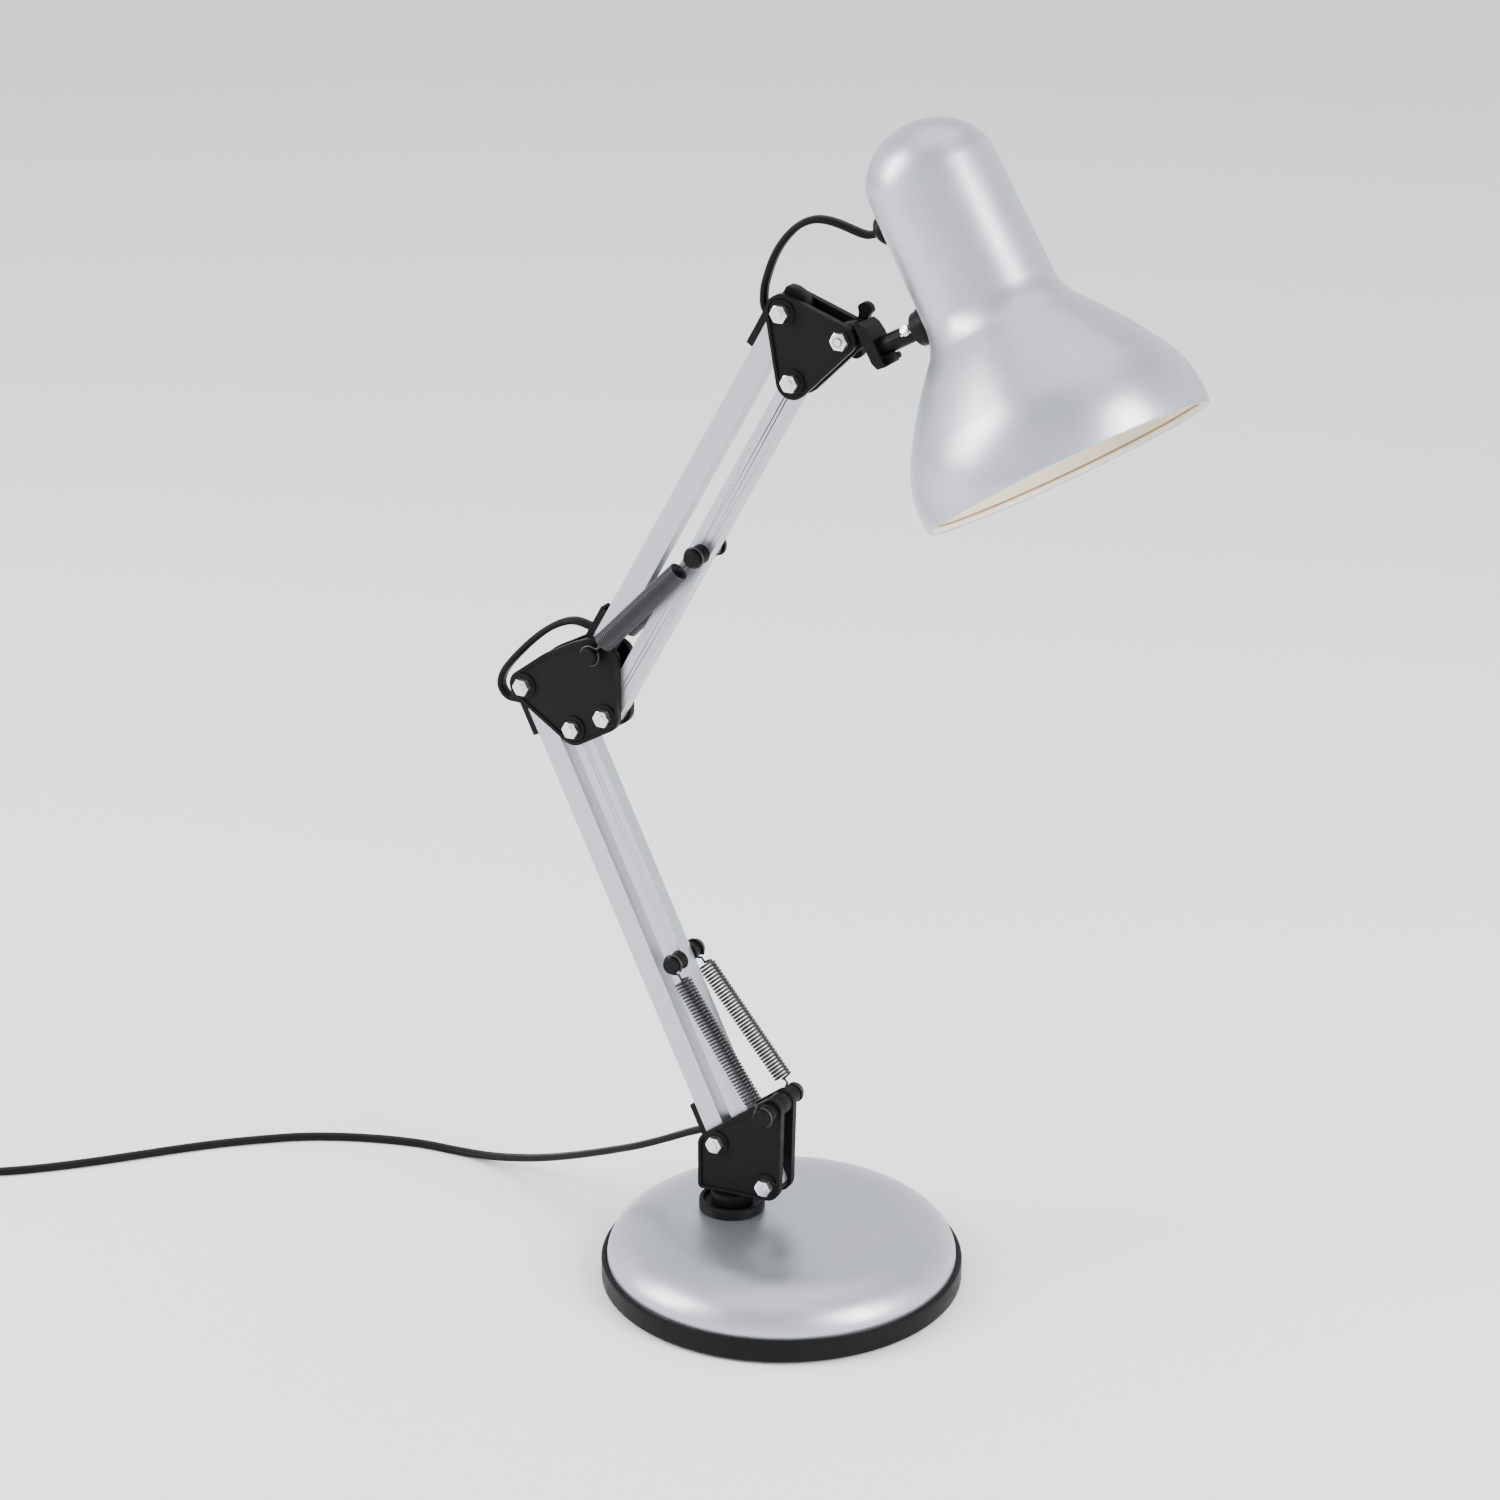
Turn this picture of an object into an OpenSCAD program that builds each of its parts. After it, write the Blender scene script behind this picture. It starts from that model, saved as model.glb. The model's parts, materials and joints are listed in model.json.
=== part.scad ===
// Architect desk lamp: two parallel-bar arms on a round weighted base, with a spun metal shade.
// Origin at the centre of the base's underside, +Z up, +X towards the head, -Y the side of the nuts.

/* [Base] */
// Diameter of the black base tray
base_d = 163; // [150:1:200]
// Height of the tray's rim above the table
tray_h = 11.5; // [9:0.5:14]
// Diameter of the cover where it enters the tray
cover_d = 157.6; // [145:0.2:158]
// Height of the cover's flat top
cover_h = 28.5; // [26:0.5:32]
// Distance of the swivel axis behind the centre of the base
swivel_offset = 25.5; // [0:0.5:30]

/* [Lower arm] */
// Distance between the pivots of a lower bar
lower_len = 224; // [180:1:300]
// Lean of the lower arm, backwards from upright
lower_lean = 25.5; // [20:0.5:30]

/* [Upper arm] */
// Distance between the pivots of an upper bar
upper_len = 189; // [160:1:260]
// Lean of the upper arm, forwards from upright
upper_lean = 29.2; // [25:0.1:45]

/* [Bars and brackets] */
// Depth of a channel bar in the plane of the arm
bar_depth = 10.2; // [9:0.1:10.4]
// Width of a channel bar across the arm
bar_width = 7.8; // [7.4:0.1:7.8]
// Sheet thickness of a channel bar
bar_wall = 0.8; // [0.6:0.1:1]
// Clear gap between a bracket's two cheeks
cheek_gap = 8.2; // [8.2:0.1:9]
// Thickness of a cheek at its rim
cheek_t = 3.3; // [2.8:0.1:4]
// Radius of the pivot bolts
bolt_r = 2; // [1.8:0.1:2]

/* [Shade] */
// Rise of the head's tube from level
shade_lean = 29.4; // [20:0.2:35]
// Turn of the shade on its flange, in the plane of the arms
shade_pitch = 4; // [0:0.2:5]
// Turn of the shade about its tube
shade_roll = 7.2; // [-8:0.2:8]
// Distance from the tilt pivot to the shade's axis
shade_reach = 66; // [64:0.2:72]
// Radius of the bell near its mouth
bell_r = 62.3; // [62:0.1:64]
// Radius of the neck at its top
neck_r = 27.4; // [26.8:0.1:27.6]
// Length of the shade along its axis
shade_len = 153; // [148:1:156]
// Sheet thickness of the shade
shade_wall = 1; // [0.8:0.1:1.2]

/* [Flex] */
// Width of the flat twin flex
flex_w = 5.2; // [5:0.1:5.2]
// Thickness of the flat twin flex
flex_t = 3.1; // [3:0.1:3.1]

/* [Hidden] */
$fn = 48;

silver = "silver";
black = "dimgray";
zinc = "lightgray";

// Pivots as [x, z] in the plane of the arms, x counted from the swivel axis.
lower_dir = [-sin(lower_lean), cos(lower_lean)];
upper_dir = [sin(upper_lean), cos(upper_lean)];
foot_rear = [-4, 62.5];
foot_front = foot_rear + [25, -15.6];
elbow_left = foot_rear + lower_len * lower_dir;
elbow_mid = foot_front + lower_len * lower_dir;
elbow_top = elbow_left + [36.1, 21.5];
elbow_right = elbow_left + [40.9, -7.4];
head_top = elbow_top + upper_len * upper_dir;
head_low = elbow_right + upper_len * upper_dir;
head_tip = head_top + [27.7, -7.9];
spring_bar_at = [23.6, 85];

cheek_in = cheek_gap / 2;
cheek_out = cheek_in + cheek_t;
bar_half = bar_width / 2;
back_x = bar_depth / 2;
slot_half = bar_half - bar_wall;
fit = 0.05;
loose = 0.35;
window_gap = 0.25;
lower_peg = [2.5, 110];
upper_peg = [1, 94.7];
peg_groove_y = 10.2;
elbow_groove_y = 10.6;
bar_groove_y = 14.6;
lower_hook = 7.5;
upper_hook = 9.5;
hook_r = 4.4;
lower_spring_r = 4.3;
upper_spring_r = 4.75;
spring_wire_r = 0.5;

// Heights along the bar of the cable clips on the rear bars' end plugs.
foot_clip = [2.6, 19];
top_clip = [-23, -9.8];
window_z = 6;

// Tilting head: x along the tube, z along the shade's axis, counted from the tilt pivot.
tube_z = -9.3;
mouth_z = -90.1;
tube_r = 4;
grommet_z = 30.5;
holder_top = 112;
holder_mouth = 60;
lamp_bore_r = 13.4;

// The free cord on the table, from the rear bar's foot to the inline switch.
cord_z = 1.6;
cord_route = [
    [-40.3, 0, 64], [-48, 0.5, 60.2], [-57, 1.5, 55.2], [-67, 3.5, 49.5], [-79, 6, 43],
    [-93, 10, 35.8], [-108, 14, 28.5], [-124, 18.5, 21], [-141, 23, 13.8], [-158, 27, 7.8],
    [-175, 29.5, 3.5], [-193, 30, cord_z], [-212, 28, cord_z], [-231, 23, cord_z], [-249, 16, cord_z],
    [-266, 7, cord_z], [-282, -5, cord_z], [-297, -18, cord_z], [-311, -32, cord_z],
    [-324, -46, cord_z], [-337, -60, cord_z], [-351, -74, cord_z], [-367, -88, cord_z],
    [-383, -99, cord_z], [-396, -107.5, cord_z]
];
switch_turn = 33;
switch_dir = [-cos(switch_turn), -sin(switch_turn), 0];
switch_side = [sin(switch_turn), -cos(switch_turn), 0];
switch_len = 56;
switch_w = 24;
switch_h = 15;
switch_mid = [-396, -107.5, 0] + switch_dir * switch_len / 2;
stub_len = 32;
coil_r = 28;
coil_half = 5.5;
coil_base = 0.9;
coil_h = 12.8;
coil_mid = [-396, -107.5, 0] + switch_dir * (switch_len + stub_len) - switch_side * coil_r;
plug_angle = 150;
plug_h = 13.7;
plug_w = 35.3;
plug_pin_gap = 18.6;
tail_r = coil_r + coil_half - flex_w / 2;
tail_len = 24;

// ---- helpers -------------------------------------------------------------------------------

// Moves from the swivel axis to the row's frame.
module at_swivel() {
    translate([-swivel_offset, 0, 0]) children();
}

// A plate of thickness t about y_mid, drawn as [x, z] in the plane of the arms.
module plate(y_mid, t) {
    at_swivel() translate([0, y_mid + t / 2, 0]) rotate([90, 0, 0]) linear_extrude(t) children();
}

// A round rod across the arms from y0 to y1 at the pivot p.
module rod(p, r, y0, y1) {
    at_swivel() translate([p[0], y1, p[1]]) rotate([90, 0, 0]) cylinder(h = y1 - y0, r = r);
}

// A solid of revolution about the pivot p, outline as [radius, y].
module turned(p, outline) {
    at_swivel() translate([p[0], 0, p[1]]) rotate([-90, 0, 0]) rotate_extrude() polygon(outline);
}

// A bar's own frame: z along the bar, x towards its closed front, y across it.
module on_bar(p, lean) {
    at_swivel() translate([p[0], 0, p[1]]) rotate([0, lean, 0]) children();
}

// The head's own frame: x along the tube, z along the shade's axis.
module on_head() {
    at_swivel() translate([head_tip[0], 0, head_tip[1]]) rotate([0, -shade_lean, 0]) children();
}

// The shade's own frame: as the head's, turned on the end of the tube.
module on_shade() {
    on_head() translate([0, 0, tube_z]) rotate([-shade_roll, 0, 0]) rotate([0, -shade_pitch, 0])
        translate([0, 0, -tube_z]) children();
}

// The point [x, z] of a bar's own frame, in the plane of the arms.
function on_plane(p, dir, v) = p + v[0] * [dir[1], -dir[0]] + v[1] * dir;

// Outer tangent points of two circles [x, z, r], on the left of the way from a to b.
function tangent(a, b) =
    let (d = [b[0] - a[0], b[1] - a[1]], len = norm(d), u = d / len, k = (a[2] - b[2]) / len,
         n = k * u + sqrt(1 - k * k) * [-u[1], u[0]])
    [[a[0], a[1]] + a[2] * n, [b[0], b[1]] + b[2] * n];

// A belt around circles given clockwise, each grown by g.
module belt(circles, g = 0) {
    big = [for (c = circles) [c[0], c[1], c[2] + g]];
    n = len(big);
    polygon(backwards([for (i = [0 : n - 1]) each tangent(big[i], big[(i + 1) % n])]));
    for (c = big) translate([c[0], c[1]]) circle(r = c[2]);
}

// One cheek of a bracket. side is -1 for the near cheek and 1 for the far one.
module cheek(circles, bosses, holes, side) {
    rim = 1.5;
    sunk = 0.8;
    boss_r = 5.8;
    y = side * (cheek_in + cheek_out) / 2;
    color(black) difference() {
        plate(y, cheek_t) belt(circles);
        for (h = holes) rod([h[0], h[1]], h[2], y - 4, y + 4);
        difference() {
            plate(side * (cheek_out - sunk / 2 + 0.5), sunk + 1) belt(circles, -rim);
            for (b = bosses) rod(b, boss_r, y - 4, y + 4);
        }
    }
}

// Hexagon bolts across a bracket: domed head on the far side, plain end on the near side.
module bolts(points) {
    color(zinc) for (p = points) union() {
        rod(p, bolt_r, -cheek_out - 4, cheek_out + 1);
        turned(p, [[0, cheek_out], [3.6, cheek_out], [3.6, cheek_out + 1.4], [2.2, cheek_out + 2.4],
                   [0, cheek_out + 2.6]]);
    }
}

// M4 hexagon nuts on the near side of a bracket.
module nuts(points) {
    nut_r = 4.04;
    nut_h = 3.2;
    color(zinc) for (p = points) difference() {
        at_swivel() translate([p[0], -cheek_out, p[1]]) rotate([90, 30, 0])
            cylinder(h = nut_h, r = nut_r, $fn = 6);
        rod(p, bolt_r, -cheek_out - nut_h - 1, -cheek_out + 1);
    }
}

// A channel bar open at the back, with a pivot hole of radius r0 at its foot and r1 at its top.
module channel(p, lean, length, r0, r1, peg = [0, 0]) {
    color(silver) on_bar(p, lean) difference() {
        translate([0, bar_half, 0]) rotate([90, 0, 0]) linear_extrude(bar_width) {
            circle(r = back_x);
            translate([0, length]) circle(r = back_x);
            translate([-back_x, 0]) square([bar_depth, length]);
        }
        translate([-back_x - 1, -slot_half, -back_x - 1])
            cube([bar_depth + 1 - bar_wall, 2 * slot_half, length + bar_depth + 2]);
        translate([0, 20, 0]) rotate([90, 0, 0]) cylinder(h = 40, r = r0);
        translate([0, 20, length]) rotate([90, 0, 0]) cylinder(h = 40, r = r1);
        if (peg[1] > 0) translate([peg[0], 20, peg[1]]) rotate([90, 0, 0])
            cylinder(h = 40, r = bolt_r);
    }
}

// A moulded plug in the end of a channel, from z0 to z1 along the bar.
module plug_core(z0, z1) {
    front = back_x - bar_wall;
    translate([-3.4, -slot_half, z0]) cube([3.4 + front, 2 * slot_half, z1 - z0]);
}

// The cable clip behind a plug, open inside for the flex.
module plug_clip(z0, z1) {
    inner = 7.1;
    outer = 8.7;
    difference() {
        translate([-outer, -slot_half, z0]) cube([outer - 3.4, 2 * slot_half, z1 - z0]);
        translate([-inner, -flex_w / 2 - fit, z0 - 1])
            cube([inner + 1, flex_w + 2 * fit, z1 - z0 + 2]);
    }
}

// The bolt hole of a plug at height z.
module plug_bore(z, r) {
    translate([0, 20, z]) rotate([90, 0, 0]) cylinder(h = 40, r = r);
}

// The cable window through a clip at height z.
module clip_window(z) {
    translate([-10, -flex_w / 2 - window_gap, z - flex_t / 2 - 0.2])
        cube([5, flex_w + 2 * window_gap, flex_t + 1]);
}

// The corner offsets of a ribbon of thickness t along the points p.
function ribbon_side(p, t) =
    let (n = len(p) - 1)
    [for (i = [0 : n])
        let (j = min(i, n - 1), k = max(i, 1), next = unit(p[j + 1] - p[j]),
             last = unit(p[k] - p[k - 1]), mid = unit(next + last))
        t / 2 / (mid * next) * [-mid[1], mid[0]]];

// A flat flex along [x, z] points, with its broad side across the arm.
module flat_flex(points) {
    side = ribbon_side(points, flex_t);
    last = len(points) - 1;
    translate([0, flex_w / 2, 0]) rotate([90, 0, 0]) linear_extrude(flex_w)
        polygon(concat([for (i = [0 : last]) points[i] - side[i]],
                       backwards([for (i = [0 : last]) points[i] + side[i]])));
}

// A pair of spring pegs on one pin: post, hook groove and head, mirrored across the arm.
module peg_pair(p, post_from, groove_y, post_r) {
    head_y = groove_y + 0.9;
    side = [[0, post_from], [post_r, post_from], [3.5, groove_y - 0.9], [2.9, groove_y - 0.9],
            [2.9, head_y], [3.9, head_y], [3.9, head_y + 1.2], [3.3, head_y + 1.8],
            [0, head_y + 1.8]];
    color(black) union() {
        rod(p, bolt_r, -post_from - 1, post_from + 1);
        turned(p, side);
        mirror([0, 1, 0]) turned(p, side);
    }
}

// A tension spring between two pegs: its coil as a tube, with a hook ring at each end.
module spring(a, ya, b, yb, hook, r) {
    from = [a[0], ya, a[1]];
    to = [b[0], yb, b[1]];
    d = to - from;
    length = norm(d);
    turn = atan2(norm([d[0], d[1]]), d[2]);
    around = atan2(d[1], d[0]);
    for (end = [from, to]) translate(end) rotate([90, 0, 0])
        rotate_extrude() translate([hook_r, 0]) circle(r = spring_wire_r, $fn = 16);
    translate(from) rotate([0, 0, around]) rotate([0, turn, 0]) {
        for (z = [hook_r - 0.2, length - hook])
            translate([0, 0, z]) cylinder(h = hook - hook_r + 0.2, r = spring_wire_r, $fn = 16);
        translate([0, 0, hook - 0.4]) difference() {
            cylinder(h = length - 2 * hook + 0.8, r = r);
            translate([0, 0, 1]) cylinder(h = length - 2 * hook - 1.2, r = r - 1);
        }
    }
}

// Both springs of an arm, mirrored across it.
module springs(a, ya, b, yb, hook, r) {
    color("black") at_swivel() {
        spring(a, -ya, b, -yb, hook, r);
        spring(a, ya, b, yb, hook, r);
    }
}

// A point on a smooth curve through the points p, at t from 0 to len(p) - 1.
function smooth(p, t) =
    let (n = len(p) - 1, i = min(floor(t), n - 1), f = t - i,
         a = p[max(i - 1, 0)], b = p[i], c = p[i + 1], d = p[min(i + 2, n)])
    b + 0.5 * f * (c - a) + f * f * (a - 2.5 * b + 2 * c - 0.5 * d)
      + f * f * f * (-0.5 * a + 1.5 * b - 1.5 * c + 0.5 * d);
function unit(v) = v / norm(v);

// A flat cord along a route, its broad side level.
module cord_tube(route, steps, sides) {
    n = (len(route) - 1) * steps;
    at = [for (i = [0 : n]) smooth(route, i / steps)];
    way = [for (i = [0 : n]) unit(at[min(i + 1, n)] - at[max(i - 1, 0)])];
    side = [for (w = way) unit(cross([0, 0, 1], w))];
    up = [for (i = [0 : n]) cross(way[i], side[i])];
    rings = [for (i = [0 : n], k = [0 : sides - 1])
        let (a = 360 * (k + 0.5) / sides, s = 1 / cos(180 / sides))
        at[i] + side[i] * flex_w / 2 * cos(a) + up[i] * flex_t / 2 * s * sin(a)];
    walls = [for (i = [0 : n - 1], k = [0 : sides - 1])
        let (j = (k + 1) % sides)
        [i * sides + k, (i + 1) * sides + k, (i + 1) * sides + j, i * sides + j]];
    caps = [[for (k = [0 : sides - 1]) k], [for (k = [sides - 1 : -1 : 0]) n * sides + k]];
    polyhedron(rings, concat(walls, caps), convexity = 10);
}

// Points of an arc about c, from angle a0 to a1.
function arc(c, r, a0, a1, n) =
    [for (i = [0 : n]) let (a = a0 + (a1 - a0) * i / n) c + r * [cos(a), sin(a)]];

// An outline moved inwards by t, along its own normals.
function inset(p, t) =
    [for (i = [0 : len(p) - 1])
        let (d = unit(p[min(i + 1, len(p) - 1)] - p[max(i - 1, 0)]),
             deep = p[i][1] < 2.6 ? t + 1.1 : t)
        [max(p[i][0] - deep * d[1], 0), p[i][1] + (i == 0 ? 0 : deep * d[0])]];
function backwards(p) = [for (i = [len(p) - 1 : -1 : 0]) p[i]];

// The shade's outside as [radius, height above the mouth]: bell, fillet, neck and domed cap.
rim_arc_r = 48;
rim_arc_at = [bell_r - rim_arc_r, 6];
bell_arc_r = 200;
bell_arc_at = rim_arc_at + (rim_arc_r - bell_arc_r) * [cos(30), sin(30)];
neck_foot = [neck_r + 0.8, 75];
cap_h = 24;
function fillet(a, m, b, n) =
    [for (i = [1 : n]) let (t = i / n) (1 - t) * (1 - t) * a + 2 * t * (1 - t) * m + t * t * b];
bell_end = bell_arc_at + bell_arc_r * [cos(41.5), sin(41.5)];
shade_outline = concat(
    arc(rim_arc_at, rim_arc_r, -asin(6 / rim_arc_r), 30, 10),
    arc(bell_arc_at, bell_arc_r, 31, 41.5, 6),
    fillet(bell_end, [neck_foot[0] + 0.3, 68.5], neck_foot, 5),
    [for (a = [0 : 7.5 : 90])
        [neck_r * cos(a), shade_len - cap_h + cap_h * sin(a)]]
);

// ---- base ------------------------------------------------------------------------------------

module base_felt() {
    color("darkslategray") cylinder(h = 1, r = base_d / 2 - 5.5, $fn = 96);
}

module base_tray() {
    r = base_d / 2;
    color(black) difference() {
        rotate_extrude($fn = 96)
            polygon([[0, 1], [r - 1.2, 1], [r, 2.2], [r, tray_h - 0.8], [r - 0.8, tray_h],
                     [cover_d / 2 + 0.2, tray_h], [cover_d / 2 + 0.2, 3], [0, 3]]);
        for (a = [60, 180, 300]) rotate(a) translate([50, 0, 0]) {
            cylinder(h = 4, r = bolt_r + fit);
            translate([0, 0, 1]) cylinder(h = 2, r1 = 4 + fit, r2 = bolt_r + fit);
        }
    }
}

module base_screws() {
    color(zinc) for (a = [60, 180, 300]) rotate(a) translate([50, 0, 1]) {
        cylinder(h = 2, r1 = 4, r2 = bolt_r);
        cylinder(h = 10, r = bolt_r);
    }
}

module base_weight() {
    color("slategray") difference() {
        rotate_extrude($fn = 96)
            polygon([[0, 3], [71, 3], [73, 5], [71, 12], [66, 14], [0, 14]]);
        at_swivel() translate([0, 0, 2]) cylinder(h = 14, r = 12);
        for (a = [60, 180, 300]) rotate(a) translate([50, 0, 2]) cylinder(h = 10, r = bolt_r + fit);
    }
}

module base_cover() {
    r = cover_d / 2;
    shoulder_r = 50;
    low = 12;
    wall = 1;
    function dome(t) = concat([[r - t, 3]],
        [for (a = [0 : 7.5 : 90])
            [shoulder_r + (r - t - shoulder_r) * cos(a), low + (cover_h - t - low) * sin(a)]],
        [[0, cover_h - t]]);
    color(silver) difference() {
        rotate_extrude($fn = 96) polygon(concat(dome(0), backwards(dome(wall))));
        at_swivel() translate([0, 0, cover_h - 5]) cylinder(h = 10, r = 7 + fit);
    }
}

module swivel_collar() {
    top = cover_h + 4.9;
    color(black) at_swivel() rotate_extrude()
        polygon([[5.05, 19], [7, 19], [7, cover_h], [14.6, cover_h], [15, cover_h + 0.5],
                 [15, top - 0.5], [14.5, top], [13.1, top], [12.8, cover_h + 3], [5.05, cover_h + 3]]);
}

module collar_nut() {
    color(zinc) at_swivel() difference() {
        translate([0, 0, cover_h - 6.5]) cylinder(h = 5.5, r = 12, $fn = 6);
        cylinder(h = 40, r = 7);
    }
}

// ---- cord, switch and plug ---------------------------------------------------------------------

module mains_cord() {
    color(black) cord_tube(cord_route, 2, 10);
}

// The switch's own frame: x along the cord, z up.
module on_switch() {
    translate(switch_mid) rotate([0, 0, 180 + switch_turn]) children();
}

rocker_l = 17;
rocker_w = 11;
module switch_housing() {
    color(black) on_switch() difference() {
        translate([0, 0, switch_h / 2]) intersection() {
            cube([switch_len, switch_w, switch_h], center = true);
            translate([0, 0, -switch_h / 2]) linear_extrude(switch_h) {
                square([switch_len - 26, switch_w], center = true);
                square([switch_len, switch_w - 12], center = true);
                for (x = [-1, 1]) translate([x * (switch_len / 2 - 13), 0])
                    circle(r = switch_w / 2);
            }
        }
        translate([-rocker_l / 2 - 0.3, -rocker_w / 2 - 0.3, 5])
            cube([rocker_l + 0.6, rocker_w + 0.6, 20]);
        translate([0, 0, 10]) rotate([90, 0, 0])
            cylinder(h = rocker_w + 4.4, r = 1.5 + fit, center = true);
    }
}

module switch_rocker() {
    tilt = 7;
    color(black) on_switch() translate([0, 0, 10]) rotate([0, tilt, 0]) difference() {
        union() {
            translate([-rocker_l / 2 + 0.6, -rocker_w / 2, -3]) cube([rocker_l - 1.2, rocker_w, 9]);
            rotate([90, 0, 0]) cylinder(h = rocker_w + 4, r = 1.5, center = true);
        }
        for (x = [-1, 1]) translate([0, 0, 6]) rotate([0, x * 8, 0])
            translate([x > 0 ? 0 : -20, -20, 0]) cube([20, 40, 6]);
    }
}

module switch_cord() {
    color(black) difference() {
        on_switch() translate([switch_len / 2, -flex_w / 2, 0.05]) cube([stub_len, flex_w, flex_t]);
        translate(coil_mid) translate([0, 0, -1]) cylinder(h = 20, r = coil_r + coil_half + fit, $fn = 64);
    }
}

module cord_coil() {
    color(black) translate(coil_mid) {
        translate([0, 0, coil_base]) rotate_extrude($fn = 64)
            translate([coil_r - coil_half, 0]) square([2 * coil_half, coil_h]);
        rotate(plug_angle) translate([tail_r - flex_w / 2, -tail_len, (plug_h - flex_t) / 2])
            cube([flex_w, tail_len, flex_t]);
    }
}

module cord_tie() {
    gap = 0.4;
    wide = 2 * (coil_half + gap);
    color("gray") translate(coil_mid) rotate(250) translate([coil_r, 0, 0]) rotate([90, 0, 0])
        translate([0, 0, -4]) linear_extrude(8) difference() {
            translate([-wide / 2 - 0.8, 0]) square([wide + 1.6, coil_h + 1.8]);
            translate([-wide / 2, 0.8]) square([wide, coil_h + 0.2]);
        }
}

// The plug's own frame: x along the plug from its tail, z up.
module on_plug() {
    translate(coil_mid) rotate([0, 0, plug_angle - 90]) translate([tail_len, tail_r, 0]) children();
}

module plug_body() {
    half = plug_w / 2;
    color(black) on_plug() union() {
        translate([0, 0, plug_h / 2]) rotate([0, 90, 0]) cylinder(h = 16, r1 = 3.2, r2 = 4.8);
        linear_extrude(plug_h) polygon([[14, -7], [20, -10], [34, -half], [48, -half], [48, half],
                                        [34, half], [20, 10], [14, 7]]);
    }
}

module plug_pins() {
    color(zinc) on_plug() for (y = [-1, 1])
        translate([48, y * plug_pin_gap / 2, plug_h / 2]) rotate([0, 90, 0])
            cylinder(h = 19, r = 2);
}

// ---- swivel bracket ----------------------------------------------------------------------------

lower_belt = [[-11.5, 40, 2], [-6.5, 60, 7], [spring_bar_at[0], spring_bar_at[1], 5.4],
              [foot_front[0], foot_front[1], 7]];
lower_pivots = [foot_rear, foot_front];
lower_holes = [[foot_rear[0], foot_rear[1], bolt_r], [foot_front[0], foot_front[1], bolt_r],
               [spring_bar_at[0], spring_bar_at[1], 3]];

module swivel_post() {
    neck_foot_z = cover_h + 3.3;
    color(black) at_swivel() difference() {
        union() {
            translate([0, 0, 18.9]) cylinder(h = 14, r = 5);
            translate([0, 0, neck_foot_z]) cylinder(h = 41 - neck_foot_z, r = 9.6);
            intersection() {
                translate([-11, -cheek_in, 37]) cube([24, 2 * cheek_in, 7]);
                translate([0, 0, 37]) cylinder(h = 10, r = 12.5);
            }
        }
        translate([-20, -20, 37.8]) cube([40, 20 - cheek_in, 10]);
        translate([-20, cheek_in, 37.8]) cube([40, 20, 10]);
        translate([0, 0, 18]) cylinder(h = 14, r = bolt_r);
    }
}

module swivel_screw() {
    color(zinc) at_swivel() {
        translate([0, 0, 16.4]) cylinder(h = 2.5, r = 7);
        translate([0, 0, 16.4]) cylinder(h = 14, r = bolt_r);
    }
}

module lower_cheek_near() {
    cheek(lower_belt, lower_pivots, lower_holes, -1);
}

module lower_cheek_far() {
    cheek(lower_belt, lower_pivots, lower_holes, 1);
}

module lower_spring_bar() {
    side = [[0, cheek_out], [4.2, cheek_out], [4.2, bar_groove_y - 1], [3.1, bar_groove_y - 0.9],
            [3.1, bar_groove_y + 0.9], [4.2, bar_groove_y + 1], [4.2, bar_groove_y + 2],
            [3.6, bar_groove_y + 2.7], [0, bar_groove_y + 2.7]];
    color(black) union() {
        rod(spring_bar_at, 3, -cheek_out - 1, cheek_out + 1);
        rod(spring_bar_at, 5, -cheek_in, cheek_in);
        turned(spring_bar_at, side);
        mirror([0, 1, 0]) turned(spring_bar_at, side);
    }
}

module lower_bolts() {
    bolts(lower_pivots);
}

module lower_nuts() {
    nuts(lower_pivots);
}

// ---- lower arm ---------------------------------------------------------------------------------

module lower_rear_bar() {
    channel(foot_rear, -lower_lean, lower_len, bolt_r + fit, bolt_r + fit);
}

module rear_plugs(p, lean, length) {
    color(black) on_bar(p, lean) {
        difference() {
            union() {
                plug_core(-4.4, 6);
                plug_clip(foot_clip[0], foot_clip[1]);
            }
            plug_bore(0, bolt_r + fit);
            clip_window(window_z);
        }
        difference() {
            union() {
                plug_core(length - 4.4, length + 4.4);
                plug_clip(length + top_clip[0], length - 3);
                children();
            }
            plug_bore(length, bolt_r + fit);
            translate([-10, -flex_w / 2 - window_gap, length + top_clip[1]])
                cube([6, flex_w + 2 * window_gap, -4.4 - top_clip[1]]);
        }
    }
}

module front_plugs(p, lean, length, top_r) {
    color(black) on_bar(p, lean) {
        difference() {
            plug_core(-4.4, 8);
            plug_bore(0, bolt_r + fit);
        }
        difference() {
            plug_core(length - 8, length + 4.4);
            plug_bore(length, top_r);
        }
    }
}

module lower_rear_plugs() {
    rear_plugs(foot_rear, -lower_lean, lower_len);
}

// The flex held inside a rear bar, from the foot clip's window to the way out above the top clip.
function bar_lead(length, rise) = [[-8.7, window_z], [-6.3, window_z + rise], [-4.9, 8.4],
    [-3.9, 11.8], [-2.7, 18], [-2.2, 25], [-2.2, length - 26], [-2.6, length - 16],
    [-3.6, length - 11.5], [-5.4, length - 8.4], [-8.3, length - 6.7]];

module lower_arm_lead() {
    color(black) on_bar(foot_rear, -lower_lean) flat_flex(bar_lead(lower_len, 0));
}

module lower_front_bar() {
    channel(foot_front, -lower_lean, lower_len, bolt_r + fit, bolt_r + loose, lower_peg);
}

module lower_front_plugs() {
    front_plugs(foot_front, -lower_lean, lower_len, bolt_r + loose);
}

lower_peg_at = on_plane(foot_front, lower_dir, lower_peg);
module lower_spring_pegs() {
    peg_pair(lower_peg_at, bar_half, peg_groove_y, 4.4);
}

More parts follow.
